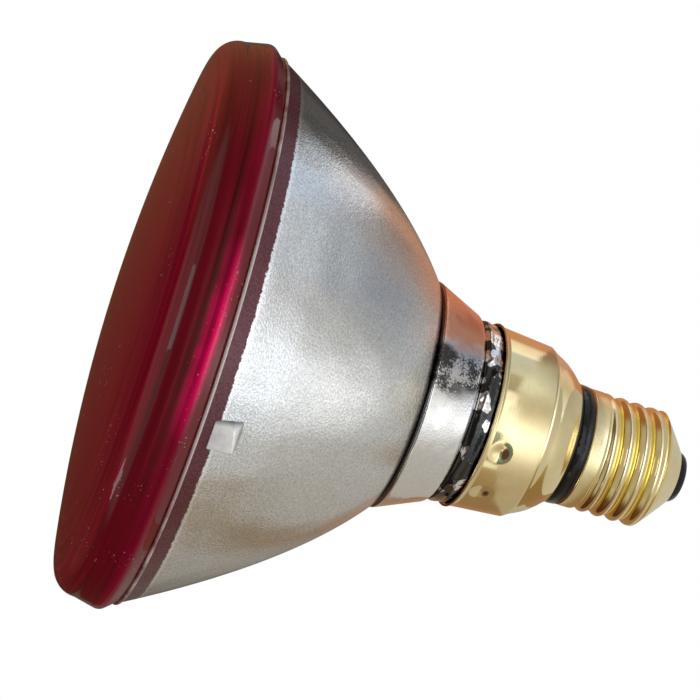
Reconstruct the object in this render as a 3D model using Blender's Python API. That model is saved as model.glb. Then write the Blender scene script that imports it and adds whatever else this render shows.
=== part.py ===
"""Sealed-beam infrared heat lamp: PAR38 pressed-glass envelope on a skirted E27 screw cap.

The lamp axis is Z. The origin is the face of the centre contact, and the lens is at the top.
Sizes are in millimetres and become metres where a mesh is made.
"""

import math

import bmesh
import bpy
from mathutils import Matrix

MM = 0.001
GAP = 0.3  # clearance between pieces that touch in the real lamp

# Overall size of the envelope
LENGTH = 129.5
RIM_RADIUS = 61.2
SEAM_RADIUS = 58.9
SEAM_Z = 111.7
GLASS = 3.0

# Lens
DOME_EDGE_RADIUS = 55.6
DOME_SAG = 4.5
SHOULDER_RADIUS = 5.0
LENS_RIM_INSET = 0.1
FLANGE_Z = 114.7  # below it the lens narrows down to the seam

# Fused ring between lens and reflector
SEAL_HEIGHT = 0.5

# Reflector bowl: a paraboloid outside and another inside
FOCAL_INSIDE = 15.2
VERTEX_INSIDE_Z = 60.3
BOWL_END_RADIUS = 25.9
BOWL_END_Z = 66.6

# Reflector collar and neck
COLLAR_TOP_RADIUS = 25.2
COLLAR_TOP_Z = 65.5
COLLAR_END_RADIUS = 20.8
COLLAR_END_Z = 54.4
GROOVE_DEPTH = 0.9
NECK_RADIUS = 18.9
NECK_END_RADIUS = 18.5
NECK_END_Z = 42.5
NECK_BORE_RADIUS = 14.5
FLOOR_UNDERSIDE_Z = 52.0

# Locating lug on the reflector rim, and crimps in the skirt: angles about Z, degrees from +X
LUG_ANGLE = -106.5
LUG_WIDTH = 6.6
LUG_TOP_Z = 109.6
LUG_END_Z = 103.4
LUG_RADIUS = 58.2
CRIMP_ANGLES = (-109.0, -141.0, 71.0, 39.0)
CRIMP_Z = 46.0
CRIMP_RADIUS = 3.4
CRIMP_DEPTH = 0.3

# Mount of the filament
POST_X = 8.0
POST_TIP_X = 13.6
POST_RADIUS = 0.75
FERRULE_RADIUS = 2.3
FERRULE_BORE = 1.1
FERRULE_FLANGE = 0.8
TUBE_RADIUS = 2.0
FILAMENT_Z = VERTEX_INSIDE_Z + FOCAL_INSIDE
FILAMENT_HALF_LENGTH = 11.0
FILAMENT_COIL_RADIUS = 1.2
FILAMENT_WIRE_RADIUS = 0.28
FILAMENT_TURNS = 14
SUPPORT_WIRE_RADIUS = 0.22
BEAD_Z = 66.0
BEAD_RADIUS = 1.6

# Wires inside the cap
WIRE_RADIUS = 0.4
SHELL_LEAD_X = 9.2
SHELL_LEAD_END_X = 10.7
FUSE_X = -4.5
FUSE_RADIUS = 1.6
FUSE_BORE = 0.9
FUSE_END_Z = 27.0
FUSE_TOP_Z = 40.0

# Skirted E27 cap
SHEET = 0.5
SKIRT_LIP_Z = 49.8
SKIRT_LIP_RADIUS = 20.1
SKIRT_SHOULDER_Z = 36.8
SKIRT_SHOULDER_RADIUS = 19.1
SKIRT_END_Z = 29.3
SKIRT_END_RADIUS = 14.0
INSULATING_RING_TOP_Z = 29.0
INSULATING_RING_END_Z = 26.4
INSULATING_RING_RADIUS = 13.3
INSULATING_RING_BORE = 10.4
SHELL_TOP_Z = 26.1
SHELL_RADIUS = 13.1
SHELL_END_Z = 3.1
SHELL_END_RADIUS = 6.7
SHELL_CONE_Z = 7.2
SHELL_CONE_RADIUS = 11.6
THREAD_PITCH = 3.629
THREAD_DEPTH = 1.1
THREAD_TOP_Z = 22.8
THREAD_END_Z = 8.6
BUTTON_RADIUS = 5.7
BUTTON_INNER_RADIUS = 7.8
CONTACT_RADIUS = 3.4
CONTACT_BORE = 0.9
CONTACT_BARREL_RADIUS = 1.7
CONTACT_Z = 0.6
CONTACT_FLANGE = 0.5
SOLDER_RADIUS = 2.3
SOLDER_FLAT_RADIUS = 1.6

# Facets around a turn
SEGMENTS_GLASS = 48
SEGMENTS_CAP = 40
SEGMENTS_SHELL = 32
SEGMENTS_CONTACT = 24
SEGMENTS_SMALL = 16

MATERIALS = {
    # name: colour, metallic, roughness
    "red_glass": ((0.30, 0.01, 0.02), 0.0, 0.08),
    "silvered_glass": ((0.72, 0.73, 0.74), 1.0, 0.35),
    "clear_glass": ((0.85, 0.88, 0.88), 0.0, 0.05),
    "seal_glass": ((0.80, 0.55, 0.58), 0.0, 0.20),
    "tungsten": ((0.25, 0.25, 0.26), 1.0, 0.35),
    "nickel": ((0.60, 0.58, 0.55), 1.0, 0.30),
    "copper_wire": ((0.72, 0.42, 0.28), 1.0, 0.30),
    "cap_brass": ((0.85, 0.68, 0.33), 1.0, 0.16),
    "black_glass": ((0.02, 0.015, 0.015), 0.0, 0.12),
    "solder": ((0.62, 0.62, 0.62), 1.0, 0.35),
}


def arc(centre, radius, start, stop, steps):
    """Profile points on a circle; angles in degrees, 0 points outward and 90 points up."""
    angles = (math.radians(start + (stop - start) * i / steps) for i in range(steps + 1))
    return [(centre[0] + radius * math.cos(a), centre[1] + radius * math.sin(a)) for a in angles]


def parallel(points, distance):
    """A profile line moved sideways by distance: positive moves it to the left of its direction."""
    moved = []
    for i, (r, z) in enumerate(points):
        before = points[max(i - 1, 0)]
        after = points[min(i + 1, len(points) - 1)]
        length_in = math.hypot(r - before[0], z - before[1]) or 1.0
        length_out = math.hypot(after[0] - r, after[1] - z) or 1.0
        along_r = (r - before[0]) / length_in + (after[0] - r) / length_out
        along_z = (z - before[1]) / length_in + (after[1] - z) / length_out
        length = math.hypot(along_r, along_z)
        both_sides = 0 < i < len(points) - 1
        mitre = 2.0 / length if both_sides else 1.0
        moved.append((r - along_z / length * distance * mitre, z + along_r / length * distance * mitre))
    return moved


def sheet_outline(middle, thickness):
    """Closed outline of sheet metal that follows a middle line."""
    return parallel(middle, thickness / 2) + parallel(middle, -thickness / 2)[::-1]


def new_object(name, data, material):
    """Link an object with its own copy of a listed material."""
    colour, metallic, roughness = MATERIALS[material]
    finish = bpy.data.materials.new(f"{name}_{material}")
    finish.use_nodes = True
    shader = finish.node_tree.nodes["Principled BSDF"]
    shader.inputs["Base Color"].default_value = (*colour, 1.0)
    shader.inputs["Metallic"].default_value = metallic
    shader.inputs["Roughness"].default_value = roughness
    data.materials.append(finish)
    obj = bpy.data.objects.new(name, data)
    bpy.context.scene.collection.objects.link(obj)
    return obj


def mesh_object(name, bm, material, sharp_angle=35.0):
    """Turn a bmesh into an object with smooth shading between its sharp edges."""
    bmesh.ops.recalc_face_normals(bm, faces=bm.faces)
    mesh = bpy.data.meshes.new(name)
    bm.to_mesh(mesh)
    bm.free()
    mesh.shade_smooth()
    mesh.set_sharp_from_angle(angle=math.radians(sharp_angle))
    return new_object(name, mesh, material)


def spun(outline, segments):
    """Spin an outline of (radius, z) points about Z. One that starts on the axis also ends on it."""
    bm = bmesh.new()
    ring = [bm.verts.new((r * MM, 0.0, z * MM)) for r, z in outline]
    edges = [bm.edges.new(pair) for pair in zip(ring, ring[1:])]
    if outline[0][0] > 0.0:
        edges.append(bm.edges.new((ring[-1], ring[0])))
    bmesh.ops.spin(
        bm, geom=ring + edges, cent=(0, 0, 0), axis=(0, 0, 1), angle=math.tau, steps=segments, use_merge=True
    )
    bmesh.ops.remove_doubles(bm, verts=bm.verts, dist=0.0001 * MM)
    return bm


def turned(name, outline, material, segments, x=0.0):
    """A turned piece whose axis stands at x."""
    obj = mesh_object(name, spun(outline, segments), material)
    obj.location = (x * MM, 0.0, 0.0)
    return obj


def wire(name, points, radius, material, bevel_resolution=2):
    """A round wire along a line of points, with flat ends."""
    curve = bpy.data.curves.new(name, "CURVE")
    curve.dimensions = "3D"
    curve.fill_mode = "FULL"
    curve.use_fill_caps = True
    curve.bevel_depth = radius * MM
    curve.bevel_resolution = bevel_resolution
    spline = curve.splines.new("POLY")
    spline.points.add(len(points) - 1)
    for target, (x, y, z) in zip(spline.points, points):
        target.co = (x * MM, y * MM, z * MM, 1.0)
    spline.use_smooth = True
    return new_object(name, curve, material)


def bent(corners, bend, steps=4):
    """A line through corner points in the XZ plane, each inner corner rounded over the bend length."""
    line = [corners[0]]
    for before, corner, after in zip(corners, corners[1:], corners[2:]):
        ends = []
        for other in (before, after):
            length = math.dist(other, corner)
            ends.append([c + (o - c) * bend / length for c, o in zip(corner, other)])
        for i in range(steps + 1):
            t = i / steps
            weights = ((1 - t) ** 2, 2 * t * (1 - t), t * t)
            handles = (ends[0], corner, ends[1])
            line.append(tuple(sum(w * p[k] for w, p in zip(weights, handles)) for k in (0, 1)))
    line.append(corners[-1])
    return [(x, 0.0, z) for x, z in line]


def helper(name, bm):
    """An unseen body that cuts or joins another piece."""
    bmesh.ops.recalc_face_normals(bm, faces=bm.faces)
    mesh = bpy.data.meshes.new(name)
    bm.to_mesh(mesh)
    bm.free()
    obj = bpy.data.objects.new(name, mesh)
    obj.hide_render = True
    obj.display_type = "WIRE"
    bpy.context.scene.collection.objects.link(obj)
    return obj


def combine(target, operand, operation):
    """Add an exact Boolean to target."""
    modifier = target.modifiers.new(operation.lower(), "BOOLEAN")
    modifier.operation = operation
    modifier.solver = "EXACT"
    modifier.object = operand


def upright_cylinders(places, radius, low_z, high_z, segments=SEGMENTS_SMALL):
    """Separate upright cylinders at (x, y) places, in one bmesh."""
    bm = bmesh.new()
    for x, y in places:
        middle = Matrix.Translation((x * MM, y * MM, (low_z + high_z) / 2 * MM))
        bmesh.ops.create_cone(
            bm,
            cap_ends=True,
            segments=segments,
            radius1=radius * MM,
            radius2=radius * MM,
            depth=(high_z - low_z) * MM,
            matrix=middle,
        )
    return bm


def lens_face(inset, rim_z, dome_steps, shoulder_steps):
    """The lens surface that lies inset from its outer face, from the rim up to the axis."""
    dome_radius = (DOME_EDGE_RADIUS**2 + DOME_SAG**2) / (2 * DOME_SAG)
    dome_centre_z = LENGTH - dome_radius
    edge_angle = math.asin(DOME_EDGE_RADIUS / dome_radius)
    reach = dome_radius - SHOULDER_RADIUS
    centre = (reach * math.sin(edge_angle), dome_centre_z + reach * math.cos(edge_angle))
    shoulder = arc(centre, SHOULDER_RADIUS - inset, 0.0, 90.0 - math.degrees(edge_angle), shoulder_steps)
    dome = arc(
        (0.0, dome_centre_z), dome_radius - inset, 90.0 - math.degrees(edge_angle), 90.0, dome_steps
    )
    dome[-1] = (0.0, dome[-1][1])
    flange = [
        (SEAM_RADIUS - LENS_RIM_INSET - inset, rim_z),
        (RIM_RADIUS - LENS_RIM_INSET - inset, FLANGE_Z),
    ]
    return flange + shoulder + dome[1:]


def make_lens():
    rim_z = SEAM_Z + SEAL_HEIGHT / 2 + GAP
    outside = lens_face(0.0, rim_z, 6, 5)
    inside = lens_face(GLASS, rim_z, 4, 3)
    turned("lens", inside[::-1] + outside, "red_glass", SEGMENTS_GLASS)


def make_lens_seal_ring():
    low = SEAM_Z - SEAL_HEIGHT / 2
    high = SEAM_Z + SEAL_HEIGHT / 2
    inner = SEAM_RADIUS - GLASS
    outline = [(inner, low), (SEAM_RADIUS, low), (SEAM_RADIUS, high), (inner, high)]
    turned("lens_seal_ring", outline, "seal_glass", SEGMENTS_GLASS)


def bowl_radius(z):
    """Outer radius of the bowl: a paraboloid through the rim and the end of the bowl."""
    four_focal = (SEAM_RADIUS**2 - BOWL_END_RADIUS**2) / (SEAM_Z - BOWL_END_Z)
    return math.sqrt(BOWL_END_RADIUS**2 + four_focal * (z - BOWL_END_Z))


def bowl_inner_z(radius):
    """Height of the silvered inner paraboloid at a radius."""
    return VERTEX_INSIDE_Z + radius**2 / (4 * FOCAL_INSIDE)


def bowl_outside(rim_z, steps):
    """Outer face of the bowl from the rim down to its end, in equal steps of radius."""
    rim = bowl_radius(rim_z)
    four_focal = (SEAM_RADIUS**2 - BOWL_END_RADIUS**2) / (SEAM_Z - BOWL_END_Z)
    face = []
    for i in range(steps + 1):
        radius = rim + (BOWL_END_RADIUS - rim) * i / steps
        face.append((radius, BOWL_END_Z + (radius**2 - BOWL_END_RADIUS**2) / four_focal))
    return face


def lug_block():
    """Glass lug: its inner side lies within the bowl wall, its outer side is upright."""
    half_wall = GLASS / 2
    section = [
        (bowl_radius(LUG_TOP_Z) - half_wall, LUG_TOP_Z),
        (LUG_RADIUS, LUG_TOP_Z),
        (LUG_RADIUS, LUG_END_Z),
        (bowl_radius(LUG_END_Z) - half_wall, LUG_END_Z),
    ]
    bm = bmesh.new()
    corners = [bm.verts.new((r * MM, -LUG_WIDTH / 2 * MM, z * MM)) for r, z in section]
    side = bm.faces.new(corners)
    extruded = bmesh.ops.extrude_face_region(bm, geom=[side])["geom"]
    moved = [item for item in extruded if isinstance(item, bmesh.types.BMVert)]
    bmesh.ops.translate(bm, verts=moved, vec=(0.0, LUG_WIDTH * MM, 0.0))
    outer_edges = [
        edge for edge in bm.edges if all(vert.co.x > (LUG_RADIUS - 0.01) * MM for vert in edge.verts)
    ]
    bmesh.ops.bevel(bm, geom=outer_edges, offset=0.5 * MM, segments=2, profile=0.5, affect="EDGES")
    bmesh.ops.rotate(
        bm, verts=bm.verts, cent=(0, 0, 0), matrix=Matrix.Rotation(math.radians(LUG_ANGLE), 3, "Z")
    )
    return bm


def make_reflector():
    rim_z = SEAM_Z - SEAL_HEIGHT / 2 - GAP
    groove = 0.6
    chamfer = 0.8
    outside = bowl_outside(rim_z, 11)
    collar = [
        (COLLAR_TOP_RADIUS - GROOVE_DEPTH, BOWL_END_Z - groove),
        (COLLAR_TOP_RADIUS, COLLAR_TOP_Z),
        (COLLAR_END_RADIUS, COLLAR_END_Z),
        (COLLAR_END_RADIUS - GROOVE_DEPTH, COLLAR_END_Z - groove),
        (NECK_RADIUS, COLLAR_END_Z - 2 * groove),
        (NECK_END_RADIUS, NECK_END_Z + chamfer),
        (NECK_END_RADIUS - chamfer, NECK_END_Z),
    ]
    hole = TUBE_RADIUS + GAP
    underside = [
        (NECK_BORE_RADIUS, NECK_END_Z),
        (NECK_BORE_RADIUS, FLOOR_UNDERSIDE_Z),
        (hole, FLOOR_UNDERSIDE_Z),
    ]
    inner_rim = math.sqrt((rim_z - VERTEX_INSIDE_Z) * 4 * FOCAL_INSIDE)
    steps = 9
    radii = [hole + (inner_rim - hole) * i / steps for i in range(steps + 1)]
    inside = [(radius, bowl_inner_z(radius)) for radius in radii]
    outline = outside + collar + underside + inside
    reflector = turned("reflector", outline, "silvered_glass", SEGMENTS_GLASS)
    combine(reflector, helper("lug_body", lug_block()), "UNION")
    holes = upright_cylinders(
        [(POST_X, 0), (-POST_X, 0)], FERRULE_RADIUS + GAP, FLOOR_UNDERSIDE_Z - 3.0, VERTEX_INSIDE_Z + 4.0
    )
    combine(reflector, helper("ferrule_holes", holes), "DIFFERENCE")


def make_ferrule(name, x):
    flange_z = FLOOR_UNDERSIDE_Z - GAP
    flange_radius = FERRULE_RADIUS + 1.1
    top_z = bowl_inner_z(POST_X) + 1.2
    chamfer = 0.3
    outline = [
        (FERRULE_BORE, flange_z - FERRULE_FLANGE),
        (flange_radius, flange_z - FERRULE_FLANGE),
        (flange_radius, flange_z),
        (FERRULE_RADIUS, flange_z),
        (FERRULE_RADIUS, top_z - chamfer),
        (FERRULE_RADIUS - chamfer, top_z),
        (FERRULE_BORE, top_z),
    ]
    turned(name, outline, "nickel", SEGMENTS_SMALL, x)


def make_exhaust_tube():
    tip_z = NECK_END_Z + 0.6
    bore = TUBE_RADIUS - 0.9
    top_z = VERTEX_INSIDE_Z + 0.7
    outline = [(0.0, tip_z), (0.7, tip_z + 0.4), (1.6, tip_z + 1.6), (TUBE_RADIUS, tip_z + 3.2)]
    outline += [(TUBE_RADIUS, top_z), (bore, top_z), (bore, tip_z + 3.4), (0.0, tip_z + 2.6)]
    turned("exhaust_tube", outline, "clear_glass", SEGMENTS_SMALL)


def make_lead_post(name, side):
    corners = [
        (side * POST_X, FLOOR_UNDERSIDE_Z - 0.6),
        (side * POST_X, BEAD_Z + 4.0),
        (side * POST_TIP_X, FILAMENT_Z - 2.4),
        (side * POST_TIP_X, FILAMENT_Z + 1.5),
    ]
    wire(name, bent(corners, 1.8), POST_RADIUS, "nickel")


def make_filament():
    """Coiled tungsten wire across the focus of the bowl, with a straight leg at each end."""
    per_turn = 8
    count = FILAMENT_TURNS * per_turn
    leg_x = POST_TIP_X - POST_RADIUS - GAP - 0.05
    points = [(-leg_x, 0.0, FILAMENT_Z)]
    for i in range(count + 1):
        angle = math.tau * i / per_turn
        x = -FILAMENT_HALF_LENGTH + 2 * FILAMENT_HALF_LENGTH * i / count
        y = FILAMENT_COIL_RADIUS * math.sin(angle)
        points.append((x, y, FILAMENT_Z - FILAMENT_COIL_RADIUS * math.cos(angle)))
    points.append((leg_x, 0.0, FILAMENT_Z))
    wire("filament", points, FILAMENT_WIRE_RADIUS, "tungsten", bevel_resolution=0)


def make_filament_support():
    """Stem with an open loop round the middle of the filament, clear of its coil."""
    loop_radius = FILAMENT_COIL_RADIUS + FILAMENT_WIRE_RADIUS + SUPPORT_WIRE_RADIUS + GAP
    steps = 12
    points = [(0.0, 0.0, BEAD_Z + BEAD_RADIUS + GAP), (0.0, 0.0, FILAMENT_Z - loop_radius - 1.5)]
    for i in range(steps + 1):
        angle = math.radians(-90.0 + 290.0 * i / steps)
        points.append((0.0, loop_radius * math.cos(angle), FILAMENT_Z + loop_radius * math.sin(angle)))
    wire("filament_support", points, SUPPORT_WIRE_RADIUS, "tungsten", bevel_resolution=1)


def make_support_bead():
    """Glass bar that ties the two posts together."""
    half = POST_X + 2.4
    outline = [(0.0, -half), (BEAD_RADIUS - 0.5, -half), (BEAD_RADIUS, 0.5 - half), (BEAD_RADIUS, half - 0.5)]
    outline += [(BEAD_RADIUS - 0.5, half), (0.0, half)]
    bm = spun(outline, SEGMENTS_SMALL)
    bmesh.ops.rotate(bm, verts=bm.verts, cent=(0, 0, 0), matrix=Matrix.Rotation(math.pi / 2, 3, "Y"))
    bmesh.ops.translate(bm, verts=bm.verts, vec=(0.0, 0.0, BEAD_Z * MM))
    bead = mesh_object("support_bead", bm, "clear_glass")
    holes = upright_cylinders(
        [(POST_X, 0), (-POST_X, 0)], POST_RADIUS + GAP, BEAD_Z - 2 * BEAD_RADIUS, BEAD_Z + 2 * BEAD_RADIUS, 12
    )
    combine(bead, helper("bead_holes", holes), "DIFFERENCE")


def make_cap_wires():
    """Lead to the shell, and lead to the centre contact through the fuse sleeve."""
    top_z = FLOOR_UNDERSIDE_Z - GAP - FERRULE_FLANGE - GAP
    inset = 4.0
    shell_side = [
        (POST_X, top_z),
        (POST_X, NECK_END_Z),
        (SHELL_LEAD_X, SKIRT_SHOULDER_Z),
        (SHELL_LEAD_X, SHELL_TOP_Z),
        (SHELL_LEAD_END_X, SHELL_TOP_Z - inset - 1.0),
    ]
    wire("shell_lead", bent(shell_side, 2.0), WIRE_RADIUS, "copper_wire")
    fuse_side = [
        (-POST_X, top_z),
        (-POST_X, FUSE_TOP_Z + 6.0),
        (FUSE_X, FUSE_TOP_Z + 2.0),
        (FUSE_X, FUSE_TOP_Z - inset),
    ]
    wire("contact_lead_upper", bent(fuse_side, 1.6), WIRE_RADIUS, "copper_wire")
    contact_side = [
        (FUSE_X, FUSE_END_Z + inset),
        (FUSE_X, FUSE_END_Z - 2.0),
        (0.0, FUSE_END_Z - 9.0),
        (0.0, CONTACT_Z + GAP),
    ]
    wire("contact_lead_lower", bent(contact_side, 2.0), WIRE_RADIUS, "copper_wire")
    sleeve = [
        (FUSE_BORE, FUSE_END_Z),
        (FUSE_RADIUS, FUSE_END_Z),
        (FUSE_RADIUS, FUSE_TOP_Z),
        (FUSE_BORE, FUSE_TOP_Z),
    ]
    turned("fuse_sleeve", sleeve, "clear_glass", SEGMENTS_SMALL, FUSE_X)


def make_cap_skirt():
    """Brass skirt: inturned end on the insulating ring, cone, rounded shoulder, tapered wall, rolled lip."""
    end_z = SKIRT_END_Z + SHEET / 2
    wall_top = SKIRT_LIP_RADIUS - SHEET / 2
    wall_low = SKIRT_SHOULDER_RADIUS - SHEET / 2
    middle = [
        (INSULATING_RING_RADIUS - 0.8, end_z),
        (SKIRT_END_RADIUS - 0.5, end_z),
        (SKIRT_END_RADIUS - 0.1, end_z + 0.35),
    ]
    middle += arc((wall_low - 2.0, SKIRT_SHOULDER_Z - 0.2), 2.0, -34.0, 0.0, 4)
    middle += [
        (wall_top, SKIRT_LIP_Z - 1.4),
        (wall_top + 0.3, SKIRT_LIP_Z - 0.7),
        (wall_top + 0.35, SKIRT_LIP_Z),
    ]
    skirt = turned("cap_skirt", sheet_outline(middle, SHEET), "cap_brass", SEGMENTS_CAP)
    share = (CRIMP_Z - SKIRT_SHOULDER_Z) / (SKIRT_LIP_Z - SKIRT_SHOULDER_Z)
    face_radius = SKIRT_SHOULDER_RADIUS + (SKIRT_LIP_RADIUS - SKIRT_SHOULDER_RADIUS) * share
    centre_radius = face_radius + CRIMP_RADIUS - CRIMP_DEPTH
    bm = bmesh.new()
    for angle in CRIMP_ANGLES:
        turn = math.radians(angle)
        centre = (centre_radius * math.cos(turn), centre_radius * math.sin(turn), CRIMP_Z)
        place = Matrix.Translation([c * MM for c in centre])
        bmesh.ops.create_icosphere(bm, subdivisions=2, radius=CRIMP_RADIUS * MM, matrix=place)
    combine(skirt, helper("crimp_tools", bm), "DIFFERENCE")


def make_insulating_ring():
    """Black ring between skirt and shell, with a collar that reaches into both."""
    collar = SHELL_RADIUS - SHEET - GAP - 0.4
    outline = [
        (INSULATING_RING_BORE, INSULATING_RING_END_Z - 2.4),
        (collar, INSULATING_RING_END_Z - 2.4),
        (collar, INSULATING_RING_END_Z),
        (INSULATING_RING_RADIUS - 0.3, INSULATING_RING_END_Z),
        (INSULATING_RING_RADIUS, INSULATING_RING_END_Z + 0.3),
        (INSULATING_RING_RADIUS, INSULATING_RING_TOP_Z - 0.3),
        (INSULATING_RING_RADIUS - 0.3, INSULATING_RING_TOP_Z),
        (collar, INSULATING_RING_TOP_Z),
        (collar, INSULATING_RING_TOP_Z + 2.4),
        (INSULATING_RING_BORE, INSULATING_RING_TOP_Z + 2.4),
    ]
    turned("insulating_ring", outline, "black_glass", SEGMENTS_CAP)


def thread_sink(angle, z):
    """How far the right-hand thread sinks the shell wall at an angle and height."""
    run_in = min((z - THREAD_END_Z) / THREAD_PITCH, (THREAD_TOP_Z - z) / THREAD_PITCH, 0.5)
    if run_in <= 0.0:
        return 0.0
    wave = 0.5 - 0.5 * math.cos(math.tau * z / THREAD_PITCH - angle)
    return THREAD_DEPTH * wave * run_in / 0.5


def make_screw_shell():
    """Thin brass shell: turned plain first, then sunk along the thread on both faces alike."""
    rows = 24
    wall = SHELL_RADIUS - SHEET / 2
    middle = [
        (SHELL_END_RADIUS - SHEET / 2, SHELL_END_Z + 0.1),
        (SHELL_CONE_RADIUS - SHEET / 2, SHELL_CONE_Z + 0.1),
    ]
    middle += [(wall, THREAD_END_Z + (THREAD_TOP_Z - THREAD_END_Z) * i / rows) for i in range(rows + 1)]
    middle.append((wall, SHELL_TOP_Z))
    bm = spun(sheet_outline(middle, SHEET), SEGMENTS_SHELL)
    for vert in bm.verts:
        radius = math.hypot(vert.co.x, vert.co.y)
        sink = thread_sink(math.atan2(vert.co.y, vert.co.x), vert.co.z / MM) * MM
        vert.co.x *= (radius - sink) / radius
        vert.co.y *= (radius - sink) / radius
    mesh_object("screw_shell", bm, "cap_brass", sharp_angle=50.0)


def make_end_insulator():
    """Black glass button in the end of the shell, with a hole for the contact's barrel."""
    hole = CONTACT_BARREL_RADIUS + GAP
    low_z = CONTACT_Z + CONTACT_FLANGE + GAP
    top_z = SHELL_END_Z + 3.8
    outline = [
        (hole, low_z),
        (BUTTON_RADIUS - 0.9, low_z),
        (BUTTON_RADIUS - 0.3, low_z + 0.3),
        (BUTTON_RADIUS, low_z + 0.9),
        (BUTTON_RADIUS, SHELL_END_Z + 0.2),
        (BUTTON_INNER_RADIUS, SHELL_END_Z + 2.3),
        (BUTTON_INNER_RADIUS, top_z),
        (hole, top_z),
    ]
    turned("end_insulator", outline, "black_glass", SEGMENTS_CAP)


def make_centre_contact():
    """Brass eyelet: a flange under the insulator and a barrel through it."""
    flange_top_z = CONTACT_Z + CONTACT_FLANGE
    barrel_top_z = SHELL_END_Z + 4.7
    outline = [
        (CONTACT_BORE, CONTACT_Z),
        (CONTACT_RADIUS - 0.5, CONTACT_Z),
        (CONTACT_RADIUS, CONTACT_Z + 0.3),
        (CONTACT_RADIUS, flange_top_z),
        (CONTACT_BARREL_RADIUS, flange_top_z),
        (CONTACT_BARREL_RADIUS, barrel_top_z),
        (CONTACT_BORE, barrel_top_z),
    ]
    turned("centre_contact", outline, "cap_brass", SEGMENTS_CONTACT)


def make_contact_solder():
    """Solder cushion under the eyelet, flat where it meets the lampholder."""
    top_z = CONTACT_Z - GAP
    outline = [
        (0.0, 0.0),
        (SOLDER_FLAT_RADIUS, 0.0),
        (SOLDER_RADIUS - 0.25, top_z * 0.35),
        (SOLDER_RADIUS, top_z * 0.75),
        (SOLDER_RADIUS, top_z),
        (0.0, top_z),
    ]
    turned("contact_solder", outline, "solder", SEGMENTS_CONTACT)


def main():
    for obj in list(bpy.data.objects):
        bpy.data.objects.remove(obj, do_unlink=True)
    make_lens()
    make_lens_seal_ring()
    make_reflector()
    make_ferrule("ferrule_right", POST_X)
    make_ferrule("ferrule_left", -POST_X)
    make_exhaust_tube()
    make_lead_post("lead_post_right", 1)
    make_lead_post("lead_post_left", -1)
    make_support_bead()
    make_filament()
    make_filament_support()
    make_cap_wires()
    make_cap_skirt()
    make_insulating_ring()
    make_screw_shell()
    make_end_insulator()
    make_centre_contact()
    make_contact_solder()


main()
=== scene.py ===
"""Looks of the infrared heat lamp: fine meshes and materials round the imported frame.

The lamp axis is Z, the centre contact is at the origin and the lens is at the top. Lengths in the
outlines are millimetres, measured on the frame's nodes where a node gives them. Lengths on the
stage are metres.
"""

import math

import bmesh
import bpy
from mathutils import Matrix, Vector


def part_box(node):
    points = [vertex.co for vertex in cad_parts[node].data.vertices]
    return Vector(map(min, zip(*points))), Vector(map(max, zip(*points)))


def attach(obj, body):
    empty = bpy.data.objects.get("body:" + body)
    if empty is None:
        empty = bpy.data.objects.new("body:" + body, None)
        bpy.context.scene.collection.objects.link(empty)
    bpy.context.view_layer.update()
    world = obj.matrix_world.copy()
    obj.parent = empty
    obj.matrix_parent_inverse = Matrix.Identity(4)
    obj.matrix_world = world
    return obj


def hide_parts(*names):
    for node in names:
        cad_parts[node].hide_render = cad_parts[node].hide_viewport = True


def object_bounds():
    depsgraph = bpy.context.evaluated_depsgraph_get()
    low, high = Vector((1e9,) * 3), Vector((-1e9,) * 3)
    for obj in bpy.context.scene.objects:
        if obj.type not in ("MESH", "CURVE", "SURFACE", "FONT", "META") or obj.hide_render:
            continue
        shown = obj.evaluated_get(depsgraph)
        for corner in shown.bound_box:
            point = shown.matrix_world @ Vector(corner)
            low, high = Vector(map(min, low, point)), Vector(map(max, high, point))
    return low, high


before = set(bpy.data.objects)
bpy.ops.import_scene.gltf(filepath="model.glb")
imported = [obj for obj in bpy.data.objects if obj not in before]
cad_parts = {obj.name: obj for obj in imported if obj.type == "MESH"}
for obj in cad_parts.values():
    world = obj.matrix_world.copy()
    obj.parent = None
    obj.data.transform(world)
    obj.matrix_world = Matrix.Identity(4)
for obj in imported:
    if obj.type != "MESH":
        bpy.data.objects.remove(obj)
cad_low, cad_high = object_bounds()

MM = 0.001
BODY = "root"

# Turned pieces: facets round the axis
FINE = 288
MEDIUM = 192
SMALL = 96

# Lens, as in the frame: the flange narrows from FLANGE_Z down to the seam
DOME_EDGE_RADIUS = 55.6
DOME_SAG = 4.5
SHOULDER_RADIUS = 5.0
FLANGE_Z = 114.7
GLASS = 3.0

# The lens starts a little inside the seam bead
RIM_INSET = 0.1
SEAM_BEAD_RADIUS = 0.34


# ---------------------------------------------------------------- frame sizes


def node_size(node):
    """(greatest radius, lowest z, highest z) of an upright turned node, in millimetres."""
    low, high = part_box(node)
    return max(high.x, high.y) / MM, low.z / MM, high.z / MM


LENS_RADIUS, _, LENGTH = node_size("lens")
RIM_RADIUS, SEAM_LOW, SEAM_HIGH = node_size("lens_seal_ring")
_, NECK_LOW, _ = node_size("reflector")
SKIRT_RADIUS, SKIRT_LOW, SKIRT_HIGH = node_size("cap_skirt")
RING_RADIUS, RING_LOW, RING_HIGH = node_size("insulating_ring")
SHELL_RADIUS, SHELL_LOW, SHELL_HIGH = node_size("screw_shell")
SEAM_Z = (SEAM_LOW + SEAM_HIGH) / 2

# Reflector, as in the frame: bowl, groove, collar and neck
BOWL_END_RADIUS = 25.9
BOWL_END_Z = 66.6
VERTEX_INSIDE_Z = 60.3
COLLAR_TOP_RADIUS = 25.2
COLLAR_END_RADIUS = 20.8
COLLAR_END_Z = 54.4
NECK_RADIUS = 18.9

# Edge of the maroon coating, which reaches from here up to the seam
COATING_Z = SEAM_Z - 3.3

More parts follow.
